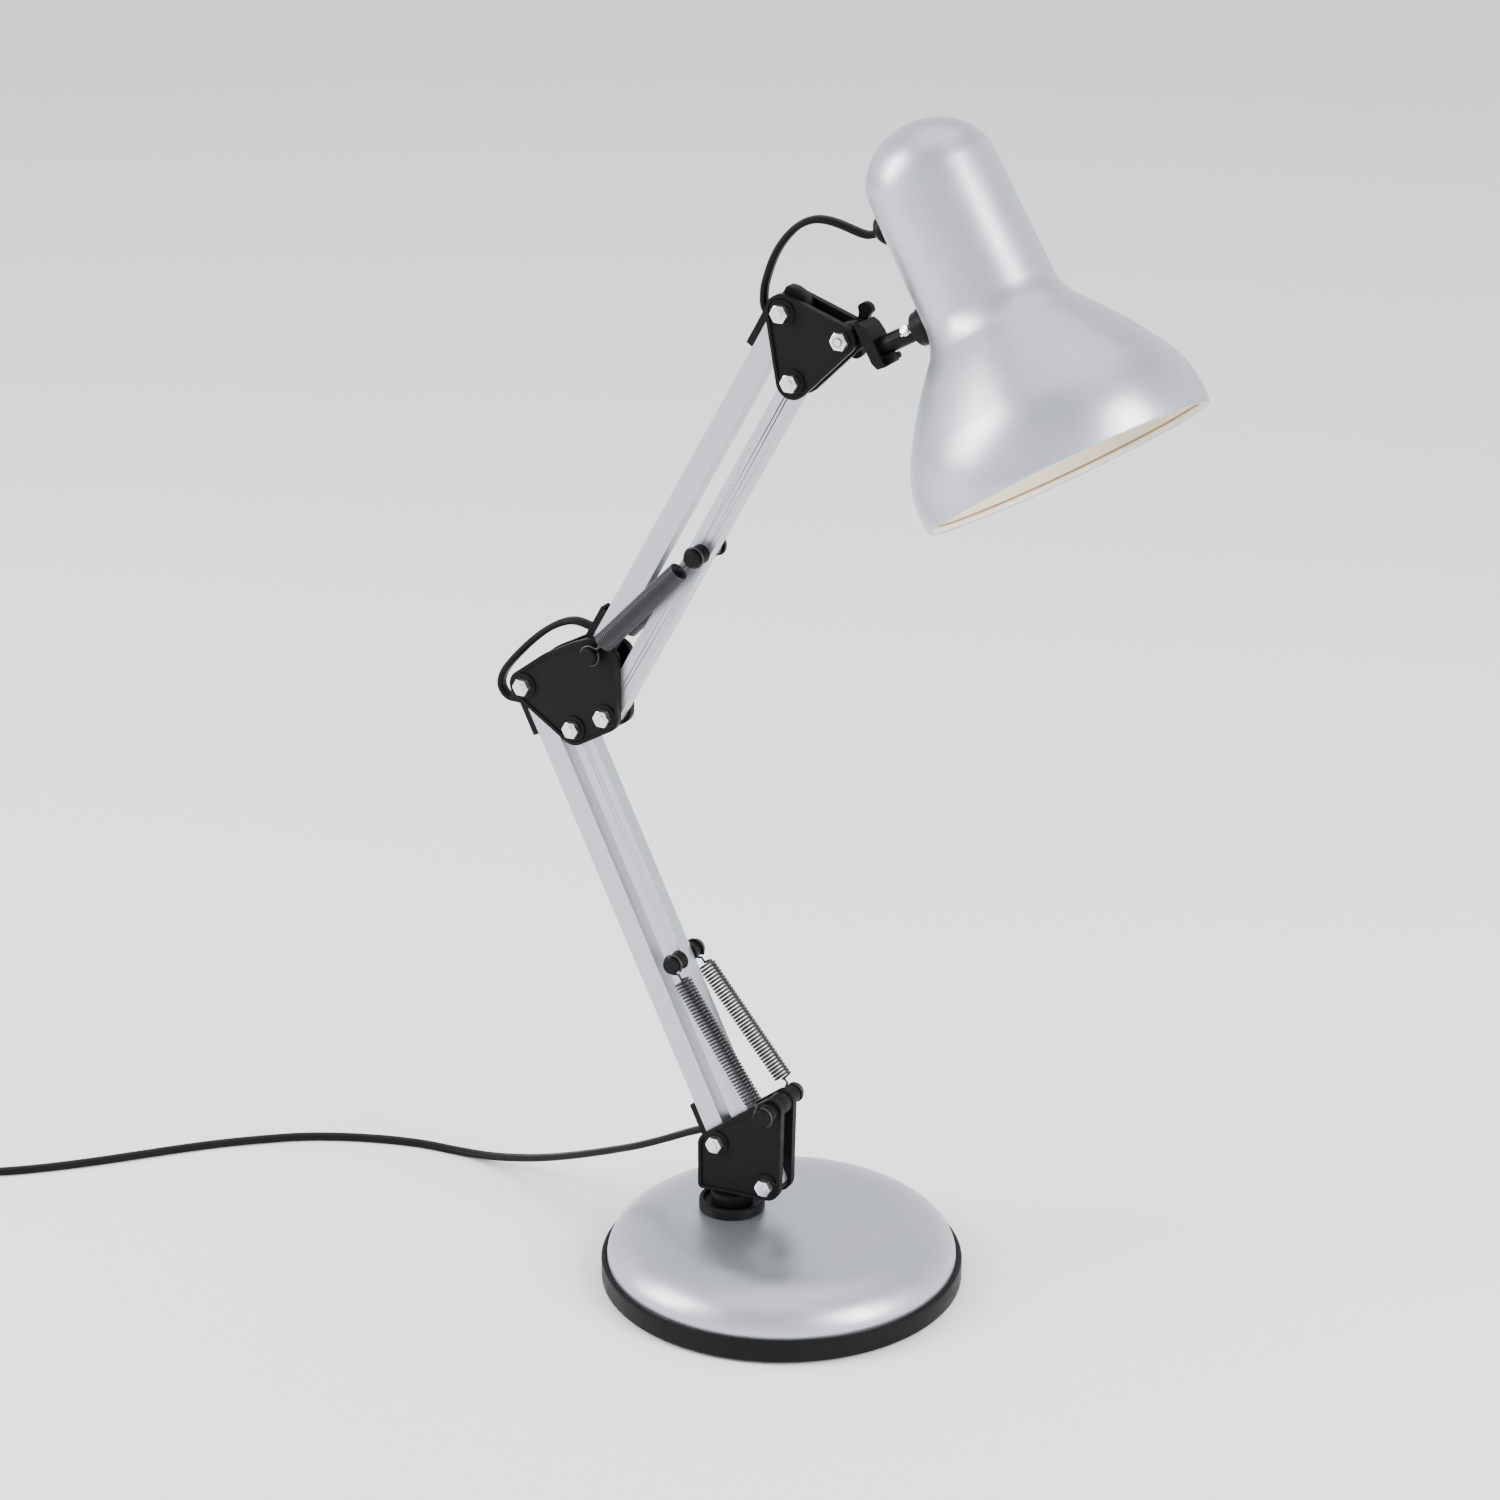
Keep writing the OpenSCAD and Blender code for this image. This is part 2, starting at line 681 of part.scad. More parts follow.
module lower_springs() {
    springs(spring_bar_at, bar_groove_y, lower_peg_at, peg_groove_y, lower_hook, lower_spring_r);
}

// ---- elbow -------------------------------------------------------------------------------------

elbow_belt = [[elbow_left[0], elbow_left[1], 7.2], [elbow_left[0] + 12.5, elbow_left[1] + 12.8, 4.5],
              [elbow_left[0] + 26.4, elbow_left[1] + 20.2, 4.5],
              [elbow_top[0], elbow_top[1], 7], [elbow_right[0] + 2.4, elbow_top[1] - 1.2, 4.5],
              [elbow_right[0], elbow_right[1], 7], [elbow_mid[0], elbow_mid[1], 7.8]];
elbow_pivots = [elbow_left, elbow_mid, elbow_right];
elbow_holes = [for (p = [elbow_left, elbow_mid, elbow_right, elbow_top]) [p[0], p[1], bolt_r]];

module elbow_cheek_near() {
    cheek(elbow_belt, elbow_pivots, elbow_holes, -1);
}

module elbow_cheek_far() {
    cheek(elbow_belt, elbow_pivots, elbow_holes, 1);
    color(black) rod(elbow_left + [17, 1.5], 3, -cheek_in, cheek_in + 1);
}

module elbow_spring_pegs() {
    peg_pair(elbow_top, cheek_out, elbow_groove_y, 4);
}

module elbow_bolts() {
    bolts(elbow_pivots);
}

module elbow_nuts() {
    nuts(elbow_pivots);
}

module elbow_lead() {
    route = [[-4.7, -9.6], [-7.9, -9.5], [-11, -9.4], [-13.6, -8.1], [-15.5, -5.5], [-15.8, -2.1],
             [-14.4, 1.9], [-11.1, 6.7], [-6, 12.5], [0.4, 19], [7.2, 24.9], [13.9, 29.3],
             [20.4, 31.9], [25.9, 32.2], [31.35, 31]];
    color(black) at_swivel() flat_flex([for (p = route) elbow_left + p]);
}

// ---- upper arm ---------------------------------------------------------------------------------

module upper_rear_bar() {
    channel(elbow_top, upper_lean, upper_len, bolt_r + fit, bolt_r + fit);
}

module upper_rear_plugs() {
    hub_r = 10.3;
    rear_plugs(elbow_top, upper_lean, upper_len) {
        difference() {
            translate([0, slot_half, upper_len]) rotate([90, 0, 0])
                cylinder(h = 2 * slot_half, r = hub_r);
            translate([-20, -20, upper_len - 30]) cube([40, 40, 30]);
            translate([-20, -20, upper_len - 30]) cube([20 - back_x, 40, 60]);
            translate([back_x - bar_wall, -20, upper_len - 1]) cube([bar_wall + fit, 40, 3.8]);
        }
    }
}

module upper_arm_lead() {
    color(black) on_bar(elbow_top, upper_lean) flat_flex(bar_lead(upper_len, 0.7));
}

module upper_front_bar() {
    channel(elbow_right, upper_lean, upper_len, bolt_r + fit, bolt_r + loose, upper_peg);
}

module upper_front_plugs() {
    front_plugs(elbow_right, upper_lean, upper_len, bolt_r + loose);
}

upper_peg_at = on_plane(elbow_right, upper_dir, upper_peg);
module upper_spring_pegs() {
    peg_pair(upper_peg_at, bar_half, peg_groove_y, 4.4);
}

module upper_springs() {
    springs(elbow_top, elbow_groove_y, upper_peg_at, peg_groove_y, upper_hook, upper_spring_r);
}

// ---- head bracket ------------------------------------------------------------------------------

head_belt = [[head_low[0], head_low[1], 7.5], [head_top[0], head_top[1], 7.8],
             [head_tip[0], head_tip[1], 6.2]];
head_pivots = [head_top, head_low];
head_holes = [[head_top[0], head_top[1], bolt_r], [head_low[0], head_low[1], bolt_r],
              [head_tip[0], head_tip[1], bolt_r + fit]];

module head_cheek_near() {
    cheek(head_belt, [head_top, head_low, head_tip], head_holes, -1);
}

module head_cheek_far() {
    cheek(head_belt, [head_top, head_low, head_tip], head_holes, 1);
}

module head_bolts() {
    bolts(head_pivots);
}

module head_nuts() {
    nuts([head_top, head_low]);
    color(zinc) difference() {
        at_swivel() translate([head_tip[0], -cheek_out, head_tip[1]]) rotate([90, 30, 0])
            cylinder(h = 3.2, r = 4.04, $fn = 6);
        rod(head_tip, bolt_r + fit, -cheek_out - 5, -cheek_out + 1);
    }
}

module head_lead() {
    aside = 6.1;
    route = [[0.1, -1.18], [-0.5, -0.1], [-0.9, 3.3], [-0.5, 8.3], [0.9, 13.6], [3, 19.6], [6.2, 25.9],
             [10.6, 31.7], [15.5, 36], [21.2, 38.4], [26.6, 38.6], [32, 37.6], [37.2, 36], [41.7, 34.6],
             [45.5, 34.2], [48.9, 35.03]];
    color(black) at_swivel() translate([head_top[0] - 11, 0, head_top[1]]) rotate([0, 0, aside])
        flat_flex(route);
}

// ---- tilting head ------------------------------------------------------------------------------

module tilt_block() {
    tongue = cheek_in - 0.2;
    body_half = 6.6;
    color(black) on_head() difference() {
        union() {
            translate([0, tongue, 0]) rotate([90, 0, 0]) linear_extrude(2 * tongue) {
                circle(r = 6.2);
                translate([0, -6.2]) square([9, 9.4]);
            }
            translate([0, body_half, 0]) rotate([90, 0, 0]) linear_extrude(2 * body_half)
                polygon([[7.7, -14], [9, -17], [12.8, -17.4], [12.8, -3.6], [12.2, 0.4], [10.6, 3.2],
                         [9.2, 1.4], [7.7, 2.6]]);
            translate([12, 3.2, 0]) rotate([90, 0, 0]) linear_extrude(6.4)
                polygon([[0, -17], [4.4, -16.6], [5, -15.2], [4.4, -13.8], [0, -13.8]]);
        }
        translate([0, 20, 0]) rotate([90, 0, 0]) cylinder(h = 40, r = bolt_r + fit);
        translate([8.3, 0, tube_z]) rotate([0, 90, 0]) cylinder(h = 20, r = tube_r + fit);
        translate([9.6, -0.5, tube_z - 12]) cube([10, 1, 9]);
    }
}

module wing_bolt() {
    wing = 12.4;
    wing_t = 3.4;
    color(black) at_swivel() translate([head_tip[0], 0, head_tip[1]]) rotate([0, -shade_lean, 0])
    {
        translate([0, cheek_out + 0.4, 0]) rotate([-90, 0, 0]) cylinder(h = 5, r = 5);
        translate([0, cheek_out + 0.4, 0]) rotate([90, 0, 0]) cylinder(h = 2 * cheek_out + 4.4,
                                                                       r = bolt_r);
        translate([0, cheek_out + 2 + wing_t, 0]) rotate([90, 0, 0]) linear_extrude(wing_t)
            rotate(-42) difference() {
                union() {
                    square([6.4, 2 * wing - 6], center = true);
                    for (z = [-1, 1]) translate([0, z * (wing - 3.4)]) circle(r = 3.4);
                }
                for (x = [-1, 1], z = [-1, 1]) translate([x * 7.6, z * 6]) circle(r = 5.4);
            }
    }
}

module head_tube() {
    color(black) on_head() difference() {
        translate([8.6, 0, tube_z]) rotate([0, 90, 0]) cylinder(h = 36, r = tube_r);
        translate([7, 0, tube_z]) rotate([0, 90, 0]) cylinder(h = 40, r = 2.6);
        translate([27.4, 0, tube_z]) rotate([60, 0, 0]) cylinder(h = 10, r = 1.5);
    }
}

module tube_flange() {
    color(black) difference() {
        on_head() translate([0, 0, tube_z]) rotate([0, 90, 0]) rotate_extrude()
            polygon([[tube_r, 30.7], [6.8, 30.7], [7.4, 31.3], [7.4, 33.6], [8.4, 34.4], [8.4, 42],
                     [tube_r, 42]]);
        on_shade() translate([shade_reach, 0, mouth_z]) rotate_extrude($fn = 96)
            polygon(concat([[0, 40]], [for (p = shade_outline) if (p[1] > 40) p + [fit, 0]]));
    }
}

module tube_nut() {
    color(zinc) on_head() difference() {
        translate([40.7, 0, tube_z]) rotate([0, 90, 0]) cylinder(h = 3.6, r = 7, $fn = 6);
        translate([30, 0, tube_z]) rotate([0, 90, 0]) cylinder(h = 40, r = tube_r);
    }
}

module tube_screw() {
    color(zinc) on_head() translate([27.4, 0, tube_z]) rotate([-30, 0, 0]) union() {
        translate([0, -2.7, 0]) rotate([90, 0, 0]) cylinder(h = 2, r = 1.5);
        translate([0, -4.1, 0]) rotate([90, 0, 0])
            rotate_extrude() polygon([[0, 0], [2.7, 0], [2.7, 0.9], [2, 1.8], [0, 2.1]]);
        translate([-2.4, -4.7, -2.1]) cube([5.4, 0.6, 4.2]);
    }
}

module shade() {
    color(silver) difference() {
        on_shade() translate([shade_reach, 0, mouth_z]) rotate_extrude($fn = 96)
            polygon(concat(shade_outline, backwards(inset(shade_outline, shade_wall))));
        on_head() translate([30, 0, tube_z]) rotate([0, 90, 0]) cylinder(h = 20, r = tube_r);
        on_shade() translate([30, 0, grommet_z]) rotate([0, 90, 0]) cylinder(h = 20, r = 4);
    }
}

module grommet() {
    color(black) on_shade() difference() {
        translate([0, 0, grommet_z]) rotate([0, 90, 0]) rotate_extrude()
            polygon([[0, 33.2], [4.2, 33.2], [6.2, 35], [6.4, 36.8], [6.2, 38.4], [4, 38.4],
                     [4, 40.9], [5.2, 41.2], [5, 42.6], [0, 42.6]]);
        translate([30, -flex_w / 2, grommet_z - flex_t / 2]) cube([20, flex_w, flex_t]);
    }
}

// The lampholder hangs in the neck on the shade's axis; heights are above the mouth.
module on_axis() {
    on_shade() translate([shade_reach, 0, mouth_z]) children();
}

module holder_plate() {
    wall_r = neck_r - shade_wall + 0.3;
    color(zinc) on_axis() difference() {
        union() {
            translate([0, 0, holder_top]) cylinder(h = 1.2, r = wall_r);
            translate([0, 0, holder_top - 5]) cylinder(h = 5.5, r = wall_r);
        }
        translate([0, 0, holder_top - 6]) cylinder(h = 6, r = wall_r - 1);
        cylinder(h = 200, r = 5);
        for (a = [30 : 60 : 330]) rotate(a) translate([18, 0, holder_top - 1]) cylinder(h = 3, r = 3);
    }
}

module lampholder() {
    color("dimgray") on_axis() rotate_extrude()
        polygon([[0, holder_mouth + 26], [lamp_bore_r + 0.9, holder_mouth + 26],
                 [lamp_bore_r + 0.9, holder_mouth], [18.5, holder_mouth], [19, holder_mouth + 1],
                 [19, holder_mouth + 6], [17.6, holder_mouth + 7], [17.6, holder_top - 12],
                 [15, holder_top - 5], [8, holder_top], [5, holder_top], [5, holder_top + 7],
                 [3.2, holder_top + 7], [3.2, holder_mouth + 36], [0, holder_mouth + 36]]);
}

module holder_contacts() {
    top = holder_mouth + 25.8;
    color("gold") on_axis() {
        difference() {
            translate([0, 0, holder_mouth + 2]) cylinder(h = 20.5, r = lamp_bore_r + 0.9);
            translate([0, 0, holder_mouth + 1]) cylinder(h = 30, r = lamp_bore_r);
        }
        translate([-3, -2, top - 2.6]) cube([6, 4, 0.8]);
        translate([-3, -2, top - 2.6]) cube([0.8, 4, 2.8]);
    }
}

module holder_lead() {
    height = grommet_z - mouth_z;
    color(black) on_axis() flat_flex([[-32.8, height], [-23, height], [-16, height + 2],
        [-10, height + 6], [-5.5, height + 8.2], [-1.8, height + 7.4], [0, height + 4],
        [0, holder_mouth + 40]]);
}

base_felt();
base_tray();
base_screws();
base_weight();
base_cover();
swivel_collar();
collar_nut();
mains_cord();
switch_housing();
switch_rocker();
switch_cord();
cord_coil();
cord_tie();
plug_body();
plug_pins();
swivel_post();
swivel_screw();
lower_cheek_near();
lower_cheek_far();
lower_spring_bar();
lower_bolts();
lower_nuts();
lower_rear_bar();
lower_rear_plugs();
lower_arm_lead();
lower_front_bar();
lower_front_plugs();
lower_spring_pegs();
lower_springs();
elbow_cheek_near();
elbow_cheek_far();
elbow_spring_pegs();
elbow_bolts();
elbow_nuts();
elbow_lead();
upper_rear_bar();
upper_rear_plugs();
upper_arm_lead();
upper_front_bar();
upper_front_plugs();
upper_spring_pegs();
upper_springs();
head_cheek_near();
head_cheek_far();
head_bolts();
head_nuts();
head_lead();
tilt_block();
wing_bolt();
head_tube();
tube_flange();
tube_nut();
tube_screw();
shade();
grommet();
holder_plate();
lampholder();
holder_contacts();
holder_lead();
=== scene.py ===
import json
import math

import bmesh
import bpy
from mathutils import Matrix, Vector


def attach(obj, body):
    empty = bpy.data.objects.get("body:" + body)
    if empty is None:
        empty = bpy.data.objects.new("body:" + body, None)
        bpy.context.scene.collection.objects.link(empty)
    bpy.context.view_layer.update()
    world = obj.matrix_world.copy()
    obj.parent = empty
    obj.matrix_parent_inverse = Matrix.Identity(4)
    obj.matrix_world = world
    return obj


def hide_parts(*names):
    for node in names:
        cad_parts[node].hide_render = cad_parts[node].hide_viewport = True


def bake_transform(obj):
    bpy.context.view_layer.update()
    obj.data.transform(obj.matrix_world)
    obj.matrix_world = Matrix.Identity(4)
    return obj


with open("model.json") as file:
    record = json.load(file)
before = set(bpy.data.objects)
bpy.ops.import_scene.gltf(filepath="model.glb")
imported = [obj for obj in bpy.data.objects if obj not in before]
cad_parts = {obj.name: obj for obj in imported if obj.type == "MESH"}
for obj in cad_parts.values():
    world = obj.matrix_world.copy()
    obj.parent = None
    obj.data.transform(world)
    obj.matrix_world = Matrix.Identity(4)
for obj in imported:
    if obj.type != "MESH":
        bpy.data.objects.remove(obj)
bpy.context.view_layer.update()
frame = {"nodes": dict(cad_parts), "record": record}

MM = 0.001
SWIVEL_X = -25.5
LOWER_LEAN, UPPER_LEAN, SHADE_LEAN = 25.5, 29.2, 29.4
LOWER_LEN, UPPER_LEN = 224.0, 189.0
CHEEK_OUT = 7.4
BOLT_R = 2.02


def sin(a):
    return math.sin(math.radians(a))


def cos(a):
    return math.cos(math.radians(a))


# ---- where things are: millimetres in the plane of the arms, x from the swivel axis ----

LOWER = (-sin(LOWER_LEAN), cos(LOWER_LEAN))
UPPER = (sin(UPPER_LEAN), cos(UPPER_LEAN))
FOOT_REAR = (-4.0, 62.5)
FOOT_FRONT = (21.0, 46.9)
ELBOW_LEFT = (FOOT_REAR[0] + LOWER_LEN * LOWER[0], FOOT_REAR[1] + LOWER_LEN * LOWER[1])
ELBOW_MID = (ELBOW_LEFT[0] + 25, ELBOW_LEFT[1] - 15.6)
ELBOW_TOP = (ELBOW_LEFT[0] + 36.1, ELBOW_LEFT[1] + 21.5)
ELBOW_RIGHT = (ELBOW_LEFT[0] + 40.9, ELBOW_LEFT[1] - 7.4)
HEAD_TOP = (ELBOW_TOP[0] + UPPER_LEN * UPPER[0], ELBOW_TOP[1] + UPPER_LEN * UPPER[1])
HEAD_LOW = (HEAD_TOP[0] + 4.8, HEAD_TOP[1] - 28.9)
HEAD_TIP = (HEAD_TOP[0] + 27.7, HEAD_TOP[1] - 7.9)
SPRING_BAR = (23.6, 85.0)
LOWER_PEG = (2.5, 110)
UPPER_PEG = (1, 94.7)
# How far from the middle of the lamp the springs' hooks hang.
PEG_Y, ELBOW_PEG_Y, SPRING_BAR_Y = 10.2, 10.6, 14.6


def at(p, y=0.0):
    """The point p of the arms' plane, y across it, in metres in the lamp's frame."""
    return Vector(((p[0] + SWIVEL_X) * MM, y * MM, p[1] * MM))


def on_bar(foot, way, x, z):
    """A point of a bar's own frame: z along the bar, x towards its closed front."""
    return (foot[0] + x * way[1] + z * way[0], foot[1] - x * way[0] + z * way[1])


def upright(x, y, z):
    """A point of the base, x and y from the base's middle, in metres."""
    return Vector((x, y, z)) * MM


HEAD_X = (cos(SHADE_LEAN), sin(SHADE_LEAN))
HEAD_Z = (-sin(SHADE_LEAN), cos(SHADE_LEAN))


def on_head(x, z, y=0.0):
    """A point of the head's own frame: x along the tube, z along the shade's axis."""
    p = (HEAD_TIP[0] + x * HEAD_X[0] + z * HEAD_Z[0], HEAD_TIP[1] + x * HEAD_X[1] + z * HEAD_Z[1])
    return at(p, y)


TUBE_Z, SHADE_REACH, MOUTH_Z = -9.3, 66, -90.1
SHADE_ROLL, SHADE_PITCH = 7.2, 4
SHADE_TURN = (Matrix.Rotation(math.radians(-SHADE_ROLL), 3, "X")
              @ Matrix.Rotation(math.radians(-SHADE_PITCH), 3, "Y"))


def on_shade(x, y, z):
    """A point x and y off the shade's axis, z above its mouth."""
    p = SHADE_TURN @ Vector((SHADE_REACH + x, y, MOUTH_Z + z - TUBE_Z))
    return on_head(p.x, p.z + TUBE_Z, p.y)


# ---- camera --------------------------------------------------------------------------------

AZIMUTH, ELEVATION = 28.47, 21.61
EYE_AT = (0.7493, -1.4117, 0.8886)
right = Vector((cos(AZIMUTH), sin(AZIMUTH), 0))
ahead = Vector((-sin(AZIMUTH) * cos(ELEVATION), cos(AZIMUTH) * cos(ELEVATION), -sin(ELEVATION)))
upward = right.cross(ahead)
eye = bpy.data.cameras.new("camera")
eye.lens = 96
eye.sensor_width = 36
eye.clip_start = 0.05
eye.clip_end = 60
camera = bpy.data.objects.new("camera", eye)
bpy.context.scene.collection.objects.link(camera)
turn = Matrix((right, upward, -ahead)).transposed().to_4x4()
camera.matrix_world = Matrix.Translation(EYE_AT) @ turn
bpy.context.scene.camera = camera

# ---- materials -----------------------------------------------------------------------------


class Shader:
    """A Principled material with helpers for the nodes that feed it."""

    def __init__(self, name, **values):
        self.material = bpy.data.materials.new(name)
        self.material.use_nodes = True
        self.tree = self.material.node_tree
        self.main = self.tree.nodes["Principled BSDF"]
        self.place = self.tree.nodes.new("ShaderNodeTexCoord").outputs["Object"]
        self.height = None
        for key, value in values.items():
            self.main.inputs[key.replace("_", " ")].default_value = value

    def noise(self, scale, detail=3.0, rough=0.5, stretch=None):
        node = self.tree.nodes.new("ShaderNodeTexNoise")
        node.inputs["Scale"].default_value = scale
        node.inputs["Detail"].default_value = detail
        node.inputs["Roughness"].default_value = rough
        place = self.place
        if stretch:
            mapping = self.tree.nodes.new("ShaderNodeMapping")
            mapping.inputs["Scale"].default_value = stretch
            self.tree.links.new(place, mapping.inputs["Vector"])
            place = mapping.outputs["Vector"]
        self.tree.links.new(place, node.inputs["Vector"])
        return node.outputs["Fac"]

    def spread(self, value, low, high, start=0.3, end=0.7):
        node = self.tree.nodes.new("ShaderNodeMapRange")
        for key, number in (("From Min", start), ("From Max", end), ("To Min", low), ("To Max", high)):
            node.inputs[key].default_value = number
        self.tree.links.new(value, node.inputs["Value"])
        return node.outputs["Result"]

    def colours(self, value, first, second):
        node = self.tree.nodes.new("ShaderNodeMix")
        node.data_type = "RGBA"
        node.inputs["A"].default_value = (*first, 1)
        node.inputs["B"].default_value = (*second, 1)
        self.tree.links.new(value, node.inputs["Factor"])
        self.tree.links.new(node.outputs["Result"], self.main.inputs["Base Color"])

    def rough(self, value, low, high):
        self.tree.links.new(self.spread(value, low, high), self.main.inputs["Roughness"])

    def bump(self, value, depth, strength=1.0):
        node = self.tree.nodes.new("ShaderNodeBump")
        node.inputs["Distance"].default_value = depth
        node.inputs["Strength"].default_value = strength
        self.tree.links.new(value, node.inputs["Height"])
        if self.height is not None:
            self.tree.links.new(self.height, node.inputs["Normal"])
        self.height = node.outputs["Normal"]
        self.tree.links.new(self.height, self.main.inputs["Normal"])


def silver_paint(name, dark, light):
    s = Shader(name, Metallic=0.9, Roughness=0.38)
    flake = s.noise(2600, 1.0, 0.5)
    s.colours(s.spread(flake, 0, 1, 0.35, 0.65), dark, light)
    s.rough(s.noise(60, 3.0), 0.34, 0.42)
    s.bump(flake, 0.00002, 0.5)
    s.bump(s.noise(420, 2.0), 0.00004, 0.35)
    return s.material


def black_plastic(name, tone, low, high, grain):
    s = Shader(name, Roughness=high)
    s.main.inputs["Specular IOR Level"].default_value = 0.09
    s.colours(s.noise(40, 4.0), (tone * 0.8,) * 3, (tone * 1.25, tone * 1.25, tone * 1.3))
    s.rough(s.noise(180, 4.0), low, high)
    s.bump(s.noise(grain, 3.0, 0.6), 0.00006, 0.5)
    return s.material


def plated(name, colour, low, high, metallic=1.0):
    s = Shader(name, Metallic=metallic, Roughness=high)
    dark = tuple(c * 0.82 for c in colour)
    light = tuple(min(1, c * 1.08) for c in colour)
    s.colours(s.noise(300, 4.0), dark, light)
    s.rough(s.noise(500, 3.0), low, high)
    s.bump(s.noise(900, 2.0, 0.5, (1, 1, 6)), 0.00003, 0.5)
    return s.material


SILVER = silver_paint("silver_paint", (0.40, 0.425, 0.46), (0.51, 0.535, 0.57))
PLASTIC = black_plastic("black_plastic", 0.005, 0.4, 0.55, 1400)
BLACK_PAINT = black_plastic("black_paint", 0.005, 0.36, 0.5, 700)
MOULDED = black_plastic("moulded_plastic", 0.006, 0.34, 0.48, 1000)
SHEATH = black_plastic("cord_sheath", 0.005, 0.38, 0.5, 1800)
ZINC = plated("zinc", (0.72, 0.74, 0.75), 0.24, 0.38)
SPRING = plated("spring_steel", (0.03, 0.031, 0.033), 0.28, 0.4, 0.5)
BRASS = plated("brass", (0.80, 0.60, 0.28), 0.25, 0.4)
NICKEL = plated("nickel", (0.78, 0.76, 0.72), 0.15, 0.26)


def cast_iron():
    s = Shader("cast_iron", Metallic=0.5, Roughness=0.7)
    s.colours(s.noise(90, 6.0), (0.06, 0.06, 0.06), (0.15, 0.14, 0.13))
    s.bump(s.noise(350, 6.0, 0.7), 0.0004, 0.7)
    return s.material


def felt():
    s = Shader("felt", Roughness=0.95)
    s.main.inputs["Sheen Weight"].default_value = 0.6
    s.colours(s.noise(900, 5.0), (0.012, 0.014, 0.013), (0.05, 0.055, 0.052))
    s.bump(s.noise(1500, 6.0, 0.75), 0.0004, 0.9)
    return s.material


def cream_paint():
    s = Shader("cream_paint", Roughness=0.5)
    s.colours(s.noise(30, 3.0), (0.76, 0.68, 0.55), (0.82, 0.74, 0.61))
    s.rough(s.noise(120, 3.0), 0.42, 0.56)
    s.bump(s.noise(500, 2.0), 0.00004, 0.4)
    return s.material


# Brown for the groove above the hem: partly the bare edge's own colour, partly painted shade of the gap
# between the hem and the wall.
def primer_and_painted_shade():
    s = Shader("primer_and_painted_shade", Roughness=0.7)
    s.colours(s.noise(80, 3.0), (0.30, 0.19, 0.10), (0.42, 0.28, 0.16))
    s.bump(s.noise(600, 2.0), 0.00004, 0.4)
    return s.material


IRON = cast_iron()
FELT = felt()
CREAM = cream_paint()
PRIMER_AND_SHADE = primer_and_painted_shade()

# ---- shapes --------------------------------------------------------------------------------


def piece(name, points, faces, material):
    """A new smooth mesh with its faces turned outwards."""
    mesh = bpy.data.meshes.new(name)
    mesh.from_pydata([tuple(p) for p in points], [], faces)
    shape = bmesh.new()
    shape.from_mesh(mesh)
    bmesh.ops.recalc_face_normals(shape, faces=shape.faces)
    shape.to_mesh(mesh)
    shape.free()
    mesh.polygons.foreach_set("use_smooth", [True] * len(mesh.polygons))
    mesh.materials.append(material)
    body = bpy.data.objects.new(name, mesh)
    bpy.context.scene.collection.objects.link(body)
    return body


def keep_edges(body, degrees):
    """Faces that meet at more than this angle keep a crisp edge between them."""
    mesh = body.data
    angle = {}
    for face in mesh.polygons:
        for key in face.edge_keys:
            angle.setdefault(key, []).append(face.normal)
    for edge in mesh.edges:
        sides = angle.get(tuple(sorted(edge.vertices)), [])
        if len(sides) == 2 and sides[0].dot(sides[1]) < cos(degrees):
            edge.use_edge_sharp = True
    return body


def turned(name, outline, place, steps, material, sharp=40, bands=()):
    """An outline of (radius, height) turned about its axis, then put in place.
    bands gives (first step of the outline, material) for parts in another finish."""
    points, faces, marks = [], [], []
    rows = []
    for r, z in outline:
        if r < 1e-6:
            rows.append([len(points)])
            points.append(place(0, 0, z))
        else:
            rows.append(list(range(len(points), len(points) + steps)))
            points += [place(r * cos(360 * k / steps), r * sin(360 * k / steps), z) for k in range(steps)]
    for i in range(len(rows) - 1):
        a, b = rows[i], rows[i + 1]
        for k in range(steps):
            j = (k + 1) % steps
            quad = [a[k % len(a)], a[j % len(a)], b[j % len(b)], b[k % len(b)]]
            quad = [q for n, q in enumerate(quad) if q not in quad[:n]]
            if len(quad) > 2:
                faces.append(quad)
                marks.append(sum(i >= start for start, finish in bands))
    body = piece(name, points, faces, material)
    for start, finish in bands:
        body.data.materials.append(finish)
    body.data.polygons.foreach_set("material_index", marks)
    return keep_edges(body, sharp)


def smooth_path(points, per):
    """A smooth curve through points, with per pieces between each two."""
    out = []
    last = len(points) - 1
    for i in range(last):
        a, b = points[max(i - 1, 0)], points[i]
        c, d = points[i + 1], points[min(i + 2, last)]
        for k in range(per):
            f = k / per
            out.append(b + 0.5 * f * (c - a) + f * f * (a - 2.5 * b + 2 * c - 0.5 * d)
                       + f ** 3 * (-0.5 * a + 1.5 * b - 1.5 * c + 0.5 * d))
    return out + [points[last]]


def swept(name, path, section, material, side=None):
    """A section of (across, up) swept along path. side fixes which way is across."""
    count = len(path)
    ways = [(path[min(i + 1, count - 1)] - path[max(i - 1, 0)]).normalized() for i in range(count)]
    points, faces = [], []
    across = side.copy() if side else ways[0].orthogonal().normalized()
    for i, way in enumerate(ways):
        if side == LEVEL:
            across = side.cross(way).normalized()
        elif not side:
            across = (across - way * across.dot(way)).normalized()
        up = way.cross(across)
        points += [path[i] + across * s * MM + up * t * MM for s, t in section]
    n = len(section)
    for i in range(count - 1):
        for k in range(n):
            j = (k + 1) % n
            faces.append([i * n + k, i * n + j, (i + 1) * n + j, (i + 1) * n + k])
    faces.append(list(range(n))[::-1])
    faces.append([(count - 1) * n + k for k in range(n)])
    return keep_edges(piece(name, points, faces, material), 60)


def disc(r, sides):
    return [(r * cos(360 * k / sides), r * sin(360 * k / sides)) for k in range(sides)]


